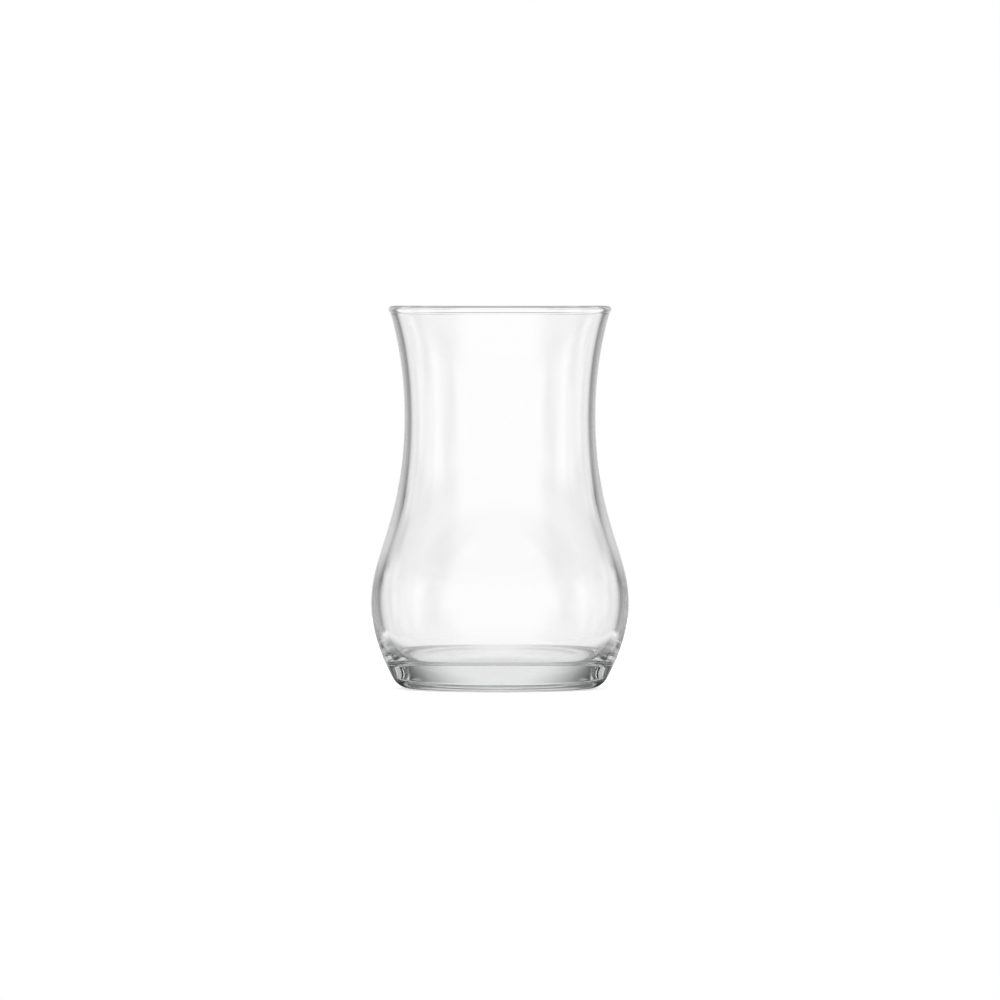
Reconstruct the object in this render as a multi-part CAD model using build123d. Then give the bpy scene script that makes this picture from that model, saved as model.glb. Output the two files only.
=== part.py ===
"""A small waisted tea glass: one piece of clear glass, turned about Z.

It stands on the narrow ring round its punt. Above a thick solid base the wall swells into a low
bulb, draws in to a waist, and flares to a mouth with a fire-polished, rolled lip.
All sizes are in millimetres. The origin is the centre of the foot, on the surface it stands on.
"""

import os
from math import asin, cos, degrees, radians, sin, sqrt, tan

from build123d import *

# Outside of the glass.
height = 87.0
waist_radius = 21.72
waist_drop = 25.5  # from the top of the lip down to the waist
waist_bend = 100.0  # radius of the outline at the waist
bulb_swell = 7.58  # how far the bulb stands out past the waist
bulb_height = 19.4  # of the widest place, above the table
bulb_bend = 26.0  # radius of the outline at the widest place

# Mouth.
rim_flare = 3.63  # how far the lip stands out past the waist
flare_angle = 16.4  # of the wall below the lip, from upright
flare_hold = 0.55  # how much of the flare the wall makes before it bends upright
rim_wall = 1.4
lip_swell = 0.22  # how far the full round of the lip stands out past each face of the wall
lip_neck = 0.4  # radius where the roll of the lip runs out into the wall

# Foot.
foot_inset = 8.98  # from the widest place in to the outer edge of the standing ring
foot_ring = 2.3  # width of the standing ring
heel_radius = 4.7
heel_angle = 29.2  # of the wall where it meets the heel, from upright
heel_hold = 0.136  # how much of the step from heel to bulb the wall makes before it bends upright
punt_depth = 0.37  # of the shallow dish under the base

# Inside of the glass.
waist_wall = 1.68
bulb_wall = 2.32
cavity_waist_offset = -0.85  # of the narrowest place inside, above the one outside
cavity_waist_bend = 120.0
cavity_bulb_offset = 1.2  # of the widest place inside, above the one outside
cavity_bulb_bend = 28.8
base_thickness = 6.6  # from the table up to the lowest ring of the cavity floor
floor_dome = 0.49  # how far the middle of the floor stands above that ring
floor_inset = 5.36  # from the widest place inside in to that ring
floor_corner = 2.03
corner_angle = 37.2  # of the wall where it meets the floor corner, from upright
corner_hold = 0.169  # how much of the step from corner to bulb the wall makes before it bends upright

# Worked out from those.
waist_height = height - waist_drop
lip_radius = rim_wall / 2 + lip_swell
bulb_radius = waist_radius + bulb_swell
foot_radius = bulb_radius - foot_inset
cavity_waist_radius = waist_radius - waist_wall
cavity_waist_height = waist_height + cavity_waist_offset
cavity_bulb_radius = bulb_radius - bulb_wall
cavity_bulb_height = bulb_height + cavity_bulb_offset
floor_radius = cavity_bulb_radius - floor_inset


def reach(step, bend):
    """How far a curve's handle runs up or down from an upright place, for that bend radius there.

    step is how far the next handle lies to the side. At the end of a cubic Bezier curve the bend
    radius is 3/2 of the handle's length squared, over that step.
    """
    return sqrt(2 / 3 * step * bend)


def slope_to_upright(start, angle, hold, upright, bend, rises):
    """Curve from a sloping place to an upright one, both given as (radius, height).

    It leaves start at the angle from upright, outwards as it rises or inwards as it falls, and has
    made the share hold of the whole step sideways at the end of its first handle.
    """
    step = upright[0] - start[0]
    up = 1 if rises else -1
    first = (start[0] + hold * step, start[1] + up * hold * abs(step) / tan(radians(angle)))
    second = (upright[0], upright[1] - up * reach((1 - hold) * abs(step), bend))
    return Bezier(start, first, second, upright)


def waist_to_bulb(waist, bulb, bend_at_waist, bend_at_bulb):
    """Curve down from the waist to the widest place, upright at both ends."""
    step = bulb[0] - waist[0]
    below_waist = (waist[0], waist[1] - reach(step, bend_at_waist))
    above_bulb = (bulb[0], bulb[1] + reach(step, bend_at_bulb))
    return Bezier(waist, below_waist, above_bulb, bulb)


def lip_outline():
    """The rolled lip: its seats on the outer and inner wall, and the three arcs between them."""
    centre = Vector(waist_radius + rim_flare - lip_radius, height - lip_radius)
    slope = radians(flare_angle)
    down = Vector(-sin(slope), -cos(slope))  # along the wall, away from the lip
    out = Vector(cos(slope), -sin(slope))  # square to the wall, outwards
    # The neck's centre lies one neck radius off the wall and touches the roll of the lip.
    off_wall = rim_wall / 2 + lip_neck
    along = sqrt((lip_radius + lip_neck) ** 2 - off_wall**2)
    seats, necks, ends = [], [], []
    for side in (1, -1):
        neck_centre = centre + down * along + out * (side * off_wall)
        seat = centre + down * along + out * (side * rim_wall / 2)
        touch = centre + (neck_centre - centre) * (lip_radius / (lip_radius + lip_neck))
        middle = (seat + touch) * 0.5 - neck_centre
        necks.append(ThreePointArc(seat, neck_centre + middle.normalized() * lip_neck, touch))
        seats.append((seat.X, seat.Y))
        ends.append(touch)
    roll = ThreePointArc(ends[0], centre - down * lip_radius, ends[1])
    return seats[0], seats[1], [necks[0], roll, necks[1]]


def heel_start():
    """Where the outer wall meets the round of the heel."""
    slope = radians(heel_angle)
    return foot_radius + heel_radius * cos(slope), heel_radius * (1 - sin(slope))


def corner_start():
    """Where the inner wall meets the round of the floor corner."""
    slope = radians(corner_angle)
    return (
        floor_radius + floor_corner * cos(slope),
        base_thickness + floor_corner * (1 - sin(slope)),
    )


def floor_joint():
    """Where the low dome of the floor runs into the round of its corner, and how steeply.

    The two circles touch there, so their radii together follow from the dome's height and width.
    """
    radii = (floor_radius**2 + floor_dome**2) / (2 * floor_dome)
    share = floor_corner / radii
    place = (floor_radius * (1 - share), base_thickness + floor_dome * share)
    return place, degrees(asin(floor_radius / radii))


def outside(seat):
    """The outer outline from the axis, under the foot and up the wall to the lip's outer seat."""
    waist = (waist_radius, waist_height)
    bulb = (bulb_radius, bulb_height)
    ring_start = (foot_radius - foot_ring, 0)
    return [
        TangentArc((0, punt_depth), ring_start, tangent=(1, 0)),
        Line(ring_start, (foot_radius, 0)),
        CenterArc((foot_radius, heel_radius), heel_radius, -90, 90 - heel_angle),
        slope_to_upright(heel_start(), heel_angle, heel_hold, bulb, bulb_bend, rises=True),
        waist_to_bulb(waist, bulb, waist_bend, bulb_bend),
        slope_to_upright(seat, flare_angle, flare_hold, waist, waist_bend, rises=False),
    ]


def inside(seat):
    """The inner outline from the lip's inner seat down the wall and across the floor to the axis."""
    waist = (cavity_waist_radius, cavity_waist_height)
    bulb = (cavity_bulb_radius, cavity_bulb_height)
    corner_centre = (floor_radius, base_thickness + floor_corner)
    joint, tilt = floor_joint()
    return [
        slope_to_upright(seat, flare_angle, flare_hold, waist, cavity_waist_bend, rises=False),
        waist_to_bulb(waist, bulb, cavity_waist_bend, cavity_bulb_bend),
        slope_to_upright(
            corner_start(), corner_angle, corner_hold, bulb, cavity_bulb_bend, rises=True
        ),
        CenterArc(corner_centre, floor_corner, -90 - tilt, 90 + tilt - corner_angle),
        TangentArc((0, base_thickness + floor_dome), joint, tangent=(1, 0)),
    ]


def tea_glass():
    """The whole glass, its half section turned once about Z."""
    outer_seat, inner_seat, lip = lip_outline()
    axis_line = Line((0, punt_depth), (0, base_thickness + floor_dome))
    edges = outside(outer_seat) + lip + inside(inner_seat) + [axis_line]
    section = Plane.XZ * make_face(edges)
    return revolve(section, Axis.Z)


os.makedirs("parts", exist_ok=True)
glass = tea_glass()
glass.label = "glass"
export_step(glass, "parts/glass.step")
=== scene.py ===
"""A small waisted tea glass, clear and empty, on a plain white floor in soft studio light."""

import bpy
import numpy as np
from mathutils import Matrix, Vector


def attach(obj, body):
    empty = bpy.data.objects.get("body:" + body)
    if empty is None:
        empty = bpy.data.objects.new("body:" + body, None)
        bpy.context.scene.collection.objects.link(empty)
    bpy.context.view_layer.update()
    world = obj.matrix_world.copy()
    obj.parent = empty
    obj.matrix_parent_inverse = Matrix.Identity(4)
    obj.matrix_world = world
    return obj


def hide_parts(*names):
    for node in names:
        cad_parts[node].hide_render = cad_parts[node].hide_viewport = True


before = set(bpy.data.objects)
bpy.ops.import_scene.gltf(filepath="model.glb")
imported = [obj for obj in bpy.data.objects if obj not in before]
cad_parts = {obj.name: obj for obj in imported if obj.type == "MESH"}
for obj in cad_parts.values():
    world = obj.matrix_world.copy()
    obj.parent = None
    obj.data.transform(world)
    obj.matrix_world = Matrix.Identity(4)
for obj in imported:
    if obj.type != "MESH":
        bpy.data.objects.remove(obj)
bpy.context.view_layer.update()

# ---------------------------------------------------------------------------------------------
# The camera stands level with the mouth, well back, behind a long lens, so the lip shows as a
# thin flat band and only the foot is seen a little from above.
camera_distance = 2.2
camera_height = 0.088
aim_height = 0.0428
framed_width = 0.2273  # of what is in view at the glass's axis

lens = bpy.data.cameras.new("camera")
lens.lens = lens.sensor_width * camera_distance / framed_width
lens.clip_start, lens.clip_end = 0.05, 30
camera = bpy.data.objects.new("camera", lens)
bpy.context.scene.collection.objects.link(camera)
camera.location = (0, -camera_distance, camera_height)
aim = Vector((0, 0, aim_height)) - camera.location
camera.rotation_euler = aim.to_track_quat("-Z", "Y").to_euler()
bpy.context.scene.camera = camera
bpy.context.scene.view_settings.view_transform = "Standard"

# ---------------------------------------------------------------------------------------------
# The studio. It is plain white to the camera and as the light on the floor. The clear glass shows
# what stands round it: a white backdrop, a dark gap at each side of it, a ring of low white panels
# beyond the gaps, and a white ceiling. Thick glass sends light round inside itself many times
# before it lets it out, so its paths are long.
longest_path = 40
bpy.context.scene.cycles.max_bounces = longest_path
bpy.context.scene.cycles.glossy_bounces = longest_path
bpy.context.scene.cycles.transmission_bounces = longest_path


class Graph:
    """Short ways to add nodes to an emptied node tree and link them up."""

    def __init__(self, tree):
        self.nodes, self.links = tree.nodes, tree.links
        self.nodes.clear()

    def give(self, socket, value):
        """Link another node's output to the socket, or set a number or colour on it."""
        if isinstance(value, bpy.types.NodeSocket):
            self.links.new(value, socket)
        else:
            socket.default_value = value

    def add(self, kind, **inputs):
        """Add a node, its inputs given by name, with _ for a space."""
        node = self.nodes.new(kind)
        for name, value in inputs.items():
            self.give(node.inputs[name.replace("_", " ")], value)
        return node

    def maths(self, operation, first, second=0.0):
        """One step of arithmetic on the first and second values."""
        node = self.nodes.new("ShaderNodeMath")
        node.operation = operation
        self.give(node.inputs[0], first)
        self.give(node.inputs[1], second)
        return node.outputs[0]

    def ease(self, value, start, end, first=0.0, last=1.0):
        """From first to last as value goes from start to end, smoothly, and level outside that."""
        node = self.add("ShaderNodeMapRange", Value=value, From_Min=start, From_Max=end)
        node.interpolation_type = "SMOOTHSTEP"
        self.give(node.inputs["To Min"], first)
        self.give(node.inputs["To Max"], last)
        return node.outputs[0]

    def blend(self, first, last, share):
        """(1 - share) times the first plus share times the last."""
        return self.add("ShaderNodeMix", Factor=share, A=first, B=last).outputs[0]

    def mixed(self, first, last, share):
        """Two shaders: the first where share is 0, the last where it is 1."""
        node = self.nodes.new("ShaderNodeMixShader")
        for socket, value in zip(node.inputs, (share, first, last)):
            self.give(socket, value)
        return node.outputs[0]

    def compass(self, x, y):
        """Degrees round from straight behind the glass: the arc tangent of |x| over y."""
        turn = self.maths("ARCTAN2", self.maths("ABSOLUTE", x), y)
        return self.maths("MULTIPLY", turn, 180 / np.pi)

    def across(self, x, y):
        """Distance from the axis: the root of x squared plus y squared."""
        squares = self.maths("ADD", self.maths("MULTIPLY", x, x), self.maths("MULTIPLY", y, y))
        return self.maths("SQRT", squares)

    def through_glass(self):
        """1 for a ray that has met the glass, 0 for one from the camera or a matt floor."""
        path = self.add("ShaderNodeLightPath").outputs
        return self.maths("MAXIMUM", path["Is Transmission Ray"], path["Is Glossy Ray"])


world = bpy.data.worlds.new("studio")
bpy.context.scene.world = world
world.use_nodes = True
graph = Graph(world.node_tree)
towards = graph.add("ShaderNodeTexCoord").outputs["Generated"]
x, y, z = graph.add("ShaderNodeSeparateXYZ", Vector=towards).outputs
turn = graph.compass(x, y)
rise = graph.maths("ARCTAN2", z, graph.across(x, y))
rise = graph.maths("MULTIPLY", rise, 180 / np.pi)
# Angles are in degrees: turn goes round from straight behind, and rise goes up from level.
white, dark, dim, near_black = 1.0, 0.02, 0.3, 0.2
panel_edge = 5  # from the middle of the backdrop, or of a panel, to where it starts to fade
# The backdrop widens upwards.
spread, spread_top = 0.74, 45
lean = graph.maths("MINIMUM", graph.maths("MAXIMUM", rise, 0), spread_top)
lean = graph.maths("MULTIPLY", lean, spread)
leant = graph.maths("SUBTRACT", turn, lean)
level = graph.ease(leant, panel_edge, graph.ease(rise, -4, 2, 41, 46.5), white, dark)
# The first low panel beyond the gap, and a taller narrow one that stands in it.
low = graph.maths("MULTIPLY", graph.ease(turn, 27.5, 48), graph.ease(turn, 62, 85, 1.0, 0.0))
low = graph.maths("MULTIPLY", low, graph.ease(rise, 2, 8, white, 0.0))
tall = graph.maths("MULTIPLY", graph.ease(turn, 45, 50), graph.ease(turn, 60, 71, 1.0, 0.0))
tall = graph.maths("MULTIPLY", tall, graph.ease(rise, 10, 17, white, 0.0))
level = graph.maths("MAXIMUM", level, graph.maths("MAXIMUM", low, tall))
# More panels stand at each eighth of the way round, with narrower gaps between them.
half_spacing = 360 / 8 / 2
off_panel = graph.maths("SUBTRACT", graph.maths("PINGPONG", turn, half_spacing), lean)
panel, gap = (graph.ease(rise, 8, 16, low_down, dark) for low_down in (white, dim))
ring = graph.ease(off_panel, panel_edge, 18, panel, gap)
level = graph.blend(level, ring, graph.ease(turn, 78, 85))
# Down behind the table it is dim. Above the panels there is a dark band, and then the ceiling.
ceiling = 0.95
level = graph.blend(level, graph.ease(turn, 12, 32, dim, white), graph.ease(rise, -12, -28))
level = graph.blend(level, near_black, graph.ease(rise, 28, 36))
level = graph.blend(level, ceiling, graph.ease(rise, 48, 56))
# On the camera's side all is white, for the glass's faces to mirror.
level = graph.blend(level, white, graph.ease(turn, 118, 140))
strength = graph.blend(1.0, level, graph.through_glass())
light = graph.add("ShaderNodeBackground", Color=(1, 1, 1, 1), Strength=strength)
graph.add("ShaderNodeOutputWorld", Surface=light.outputs[0])

# ---------------------------------------------------------------------------------------------
# The floor: a round white table top, a hair under the foot, with a large soft lamp above it. Seen
# through the glass it is a painted glow instead: white behind the foot, with painted shade under the
# glass, a painted shadow in a ring round the foot, and painted shade at its sides and in front.
# Further off, the glass sees the studio past it.
table_radius, table_corners, hair = 0.5, 96, 1e-4
around = np.linspace(0, 2 * np.pi, table_corners + 1)[:-1]
edge = np.stack([table_radius * np.cos(around), table_radius * np.sin(around), 0 * around - hair], 1)
mesh = bpy.data.meshes.new("floor")
mesh.from_pydata(edge.tolist(), [], [list(range(len(edge)))])
floor = bpy.data.objects.new("floor", mesh)
bpy.context.scene.collection.objects.link(floor)

paint = bpy.data.materials.new("table_top")
paint.use_nodes = True
graph = Graph(paint.node_tree)
place = graph.add("ShaderNodeTexCoord").outputs["Object"]
x, y, _ = graph.add("ShaderNodeSeparateXYZ", Vector=place).outputs
far = graph.across(x, y)
round_foot = graph.compass(x, y)
# The floor's painted glow as the glass sees it: painted shade under the foot, a painted shadow in a
# ring round it, and painted shade at the sides and in front, going to white further off.
at_side, painted_shade_under_foot, in_front = 0.32, 0.8, 0.6
near = graph.ease(round_foot, 42, 69, white, at_side)
painted_foot_shadow = graph.ease(round_foot, 3, 22, 0.7, 0.1)
near = graph.blend(painted_foot_shadow, near, graph.ease(far, 0.022, 0.032))
near = graph.blend(painted_shade_under_foot, near, graph.ease(far, 0.019, 0.022))
near = graph.blend(near, in_front, graph.ease(round_foot, 110, 150))
near = graph.blend(near, white, graph.ease(far, 0.036, 0.058))
painted_floor_glow = graph.add("ShaderNodeEmission", Strength=near).outputs[0]
past = graph.add("ShaderNodeBsdfTransparent").outputs[0]
through = graph.mixed(painted_floor_glow, past, graph.ease(far, 0.055, 0.065))
matt = graph.add("ShaderNodeBsdfDiffuse", Color=(0.9, 0.9, 0.9, 1)).outputs[0]
# To the camera it glows a little, so that it stays white right up to the foot.
to_camera = graph.add("ShaderNodeLightPath").outputs["Is Camera Ray"]
glow = graph.add("ShaderNodeEmission", Strength=graph.maths("MULTIPLY", to_camera, 0.5))
plain = graph.nodes.new("ShaderNodeAddShader")
graph.give(plain.inputs[0], matt)
graph.give(plain.inputs[1], glow.outputs[0])
seen = graph.mixed(plain.outputs[0], through, graph.through_glass())
graph.add("ShaderNodeOutputMaterial", Surface=seen)
mesh.materials.append(paint)

lamp = bpy.data.lights.new("overhead", "AREA")
lamp.size = 0.8
lamp.energy = 8
overhead = bpy.data.objects.new("overhead", lamp)
overhead.location = (0, 0, 1.4)
overhead.visible_glossy = overhead.visible_transmission = False
bpy.context.scene.collection.objects.link(overhead)

# ---------------------------------------------------------------------------------------------
# The glass: one piece of clear pressed glass, the same all round its axis, fire-polished all over.
# It stands on the narrow ring round its punt. The solid base is thick, the wall thin, and the lip
# rolled. The sizes are in millimetres.
MM = 0.001
height = 87.0
waist_radius, waist_drop, waist_bend = 21.72, 25.5, 100.0
bulb_swell, bulb_height, bulb_bend = 7.58, 19.4, 26.0
rim_flare, flare_angle, flare_hold, rim_wall = 3.63, 16.4, 0.55, 1.4
lip_swell, lip_neck = 0.22, 0.4
foot_inset, foot_ring, punt_depth = 8.98, 2.3, 0.37
heel_radius, heel_angle, heel_hold = 4.7, 29.2, 0.136
waist_wall, bulb_wall = 1.68, 2.32
cavity_waist_offset, cavity_waist_bend = -0.85, 120.0
cavity_bulb_offset, cavity_bulb_bend = 1.2, 28.8
base_thickness, floor_dome, floor_inset = 6.6, 0.49, 5.36
floor_corner, corner_angle, corner_hold = 2.03, 37.2, 0.169
sides = 256

waist = (waist_radius, height - waist_drop)
bulb = (waist_radius + bulb_swell, bulb_height)
foot_radius = bulb[0] - foot_inset
ring_inner = foot_radius - foot_ring
cavity_waist = (waist[0] - waist_wall, waist[1] + cavity_waist_offset)
cavity_bulb = (bulb[0] - bulb_wall, bulb[1] + cavity_bulb_offset)
floor_radius = cavity_bulb[0] - floor_inset


def cubic(a, b, c, d, steps):
    """Points along a cubic Bezier curve from a to d.

    Each is a, b, c and d weighted by (1-t)^3, 3(1-t)^2 t, 3(1-t) t^2 and t^3, for t from 0 to 1.
    """
    t = np.linspace(0, 1, steps)[:, None]
    a, b, c, d = (np.array(p, float) for p in (a, b, c, d))
    return (1 - t) ** 3 * a + 3 * (1 - t) ** 2 * t * b + 3 * (1 - t) * t**2 * c + t**3 * d


def arc(centre, radius, start, end, steps):
    """Points on a circle: its centre plus radius times the cosine and sine of each angle.

    The angles are in degrees from straight outwards, upwards positive.
    """
    angle = np.radians(np.linspace(start, end, steps))
    return np.stack([centre[0] + radius * np.cos(angle), centre[1] + radius * np.sin(angle)], 1)


def reach(step, bend):
    """Length of a curve's handle at an upright place: the root of 2/3 times step times bend.

    step is how far the next handle lies to the side, and bend the curve's radius at that place.
    """
    return np.sqrt(2 / 3 * step * bend)


def slope_to_upright(start, angle, hold, upright, bend, up, steps):
    """Cubic curve from a sloping place to an upright one; up is 1 if it rises, -1 if it falls.

    Its first handle makes the share hold of the step sideways, at the angle from upright.
    """
    step = upright[0] - start[0]
    first = (start[0] + hold * step, start[1] + up * hold * abs(step) / np.tan(np.radians(angle)))
    second = (upright[0], upright[1] - up * reach((1 - hold) * abs(step), bend))
    return cubic(start, first, second, upright, steps)


def waist_to_bulb(waist, bulb, bend_at_waist, bend_at_bulb, steps):
    """Cubic curve down from the waist to the widest place, its handles upright at both ends."""
    step = bulb[0] - waist[0]
    below = (waist[0], waist[1] - reach(step, bend_at_waist))
    above = (bulb[0], bulb[1] + reach(step, bend_at_bulb))
    return cubic(waist, below, above, bulb, steps)


def cap(middle, radius, bend, steps):
    """Round cap from the axis out to radius: middle - bend + the root of bend^2 - r^2."""
    r = np.linspace(0, radius, steps)
    return np.stack([r, middle - bend + np.sqrt(bend**2 - r**2)], 1)


# The roll of the lip, with a neck at each side that leads it into the slope of the wall.
lean = np.radians(flare_angle)
down, out = np.array([-np.sin(lean), -np.cos(lean)]), np.array([np.cos(lean), -np.sin(lean)])
lip_radius = rim_wall / 2 + lip_swell
lip_centre = np.array([waist_radius + rim_flare - lip_radius, height - lip_radius])
off_wall = rim_wall / 2 + lip_neck
along = np.sqrt((lip_radius + lip_neck) ** 2 - off_wall**2)
neck_turn = np.degrees(np.arctan2(along, off_wall))
outer_neck, inner_neck = (lip_centre + down * along + out * off for off in (off_wall, -off_wall))
lip = [
    arc(outer_neck, lip_neck, 180 - flare_angle, 180 - flare_angle - neck_turn, 8),
    arc(lip_centre, lip_radius, -flare_angle - neck_turn, 180 - flare_angle + neck_turn, 40),
    arc(inner_neck, lip_neck, neck_turn - flare_angle, -flare_angle, 8),
]
heel = arc((foot_radius, heel_radius), heel_radius, -90, -heel_angle, 26)
punt_bend = (ring_inner**2 + punt_depth**2) / (2 * punt_depth)
# The low dome of the cavity's floor and the round of its corner touch, so their radii together
# follow from the dome's width and height.
radii = (floor_radius**2 + floor_dome**2) / (2 * floor_dome)
tilt = np.degrees(np.arcsin(floor_radius / radii))
corner_centre = (floor_radius, base_thickness + floor_corner)
corner = arc(corner_centre, floor_corner, -corner_angle, -90 - tilt, 26)

# Once round the section, from the middle of the punt up the outside and down the inside.
outline = [
    cap(punt_depth, ring_inner, punt_bend, 16),
    np.array([[ring_inner, 0], [foot_radius, 0]]),
    heel,
    slope_to_upright(heel[-1], heel_angle, heel_hold, bulb, bulb_bend, 1, 36),
    waist_to_bulb(waist, bulb, waist_bend, bulb_bend, 52)[::-1],
    slope_to_upright(lip[0][0], flare_angle, flare_hold, waist, waist_bend, -1, 28)[::-1],
    *lip,
    slope_to_upright(lip[2][-1], flare_angle, flare_hold, cavity_waist, cavity_waist_bend, -1, 28),
    waist_to_bulb(cavity_waist, cavity_bulb, cavity_waist_bend, cavity_bulb_bend, 52),
    slope_to_upright(corner[0], corner_angle, corner_hold, cavity_bulb, cavity_bulb_bend, 1, 36)[::-1],
    corner,
    cap(base_thickness + floor_dome, corner[-1, 0], radii - floor_corner, 20)[::-1],
]
profile = np.vstack([outline[0]] + [part[1:] for part in outline[1:]]) * MM


def turned(name, profile, sides):
    """Surface of revolution: (r cos turn, r sin turn, z) for each point (r, z) of the profile.

    The profile starts and ends on the axis, where one vertex closes each pole.
    """
    turn = np.arange(sides) / sides * 2 * np.pi
    ring = profile[1:-1]
    points = np.stack([ring[:, :1] * np.cos(turn), ring[:, :1] * np.sin(turn),
                       np.repeat(ring[:, 1:], sides, 1)], 2).reshape(-1, 3)
    points = np.vstack([[0, 0, profile[0, 1]], points, [0, 0, profile[-1, 1]]])
    here, there = np.arange(sides), (np.arange(sides) + 1) % sides
    row = np.arange(len(ring) - 1)[:, None] * sides + 1
    quads = np.stack([row + here, row + there, row + sides + there, row + sides + here], 2)
    first = np.stack([np.zeros(sides, int), 1 + there, 1 + here], 1)
    top = 1 + (len(ring) - 1) * sides
    last = np.stack([top + here, top + there, np.full(sides, len(points) - 1)], 1)
    mesh = bpy.data.meshes.new(name)
    faces = first.tolist() + quads.reshape(-1, 4).tolist() + last.tolist()
    mesh.from_pydata(points.tolist(), [], faces)
    mesh.shade_smooth()
    piece = bpy.data.objects.new(name, mesh)
    bpy.context.scene.collection.objects.link(piece)
    return piece


glass = turned("tea_glass", profile, sides)

# Clear glass, a little grey in its thickness. Its outer face also has painted shade: it darkens
# where it turns away from the eye, so its outline stands out against white.
glass_index = 1.52
clear_glass = bpy.data.materials.new("clear_glass")
clear_glass.use_nodes = True
graph = Graph(clear_glass.node_tree)
where = graph.add("ShaderNodeTexCoord").outputs
x, y, _ = graph.add("ShaderNodeSeparateXYZ", Vector=where["Object"]).outputs
normal_x, normal_y, _ = graph.add("ShaderNodeSeparateXYZ", Vector=where["Normal"]).outputs
away = graph.maths("ADD", graph.maths("MULTIPLY", x, normal_x), graph.maths("MULTIPLY", y, normal_y))
outward = graph.ease(graph.maths("DIVIDE", away, graph.across(x, y)), 0.1, 0.3)
glancing = graph.add("ShaderNodeLayerWeight", Blend=0.5).outputs["Facing"]
shade = graph.blend(1.0, graph.ease(glancing, 0.64, 0.88, 1.0, 0.22), outward)
grey = graph.add("ShaderNodeCombineColor", Red=shade, Green=shade, Blue=shade).outputs[0]
surface = graph.add("ShaderNodeBsdfPrincipled", Base_Color=grey, Roughness=0.0, IOR=glass_index,
                    Transmission_Weight=1.0)
depth = graph.add("ShaderNodeVolumeAbsorption", Color=(0.845, 0.855, 0.85, 1), Density=30)
graph.add("ShaderNodeOutputMaterial", Surface=surface.outputs[0], Volume=depth.outputs[0])
glass.data.materials.append(clear_glass)
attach(glass, "root")
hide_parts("glass")
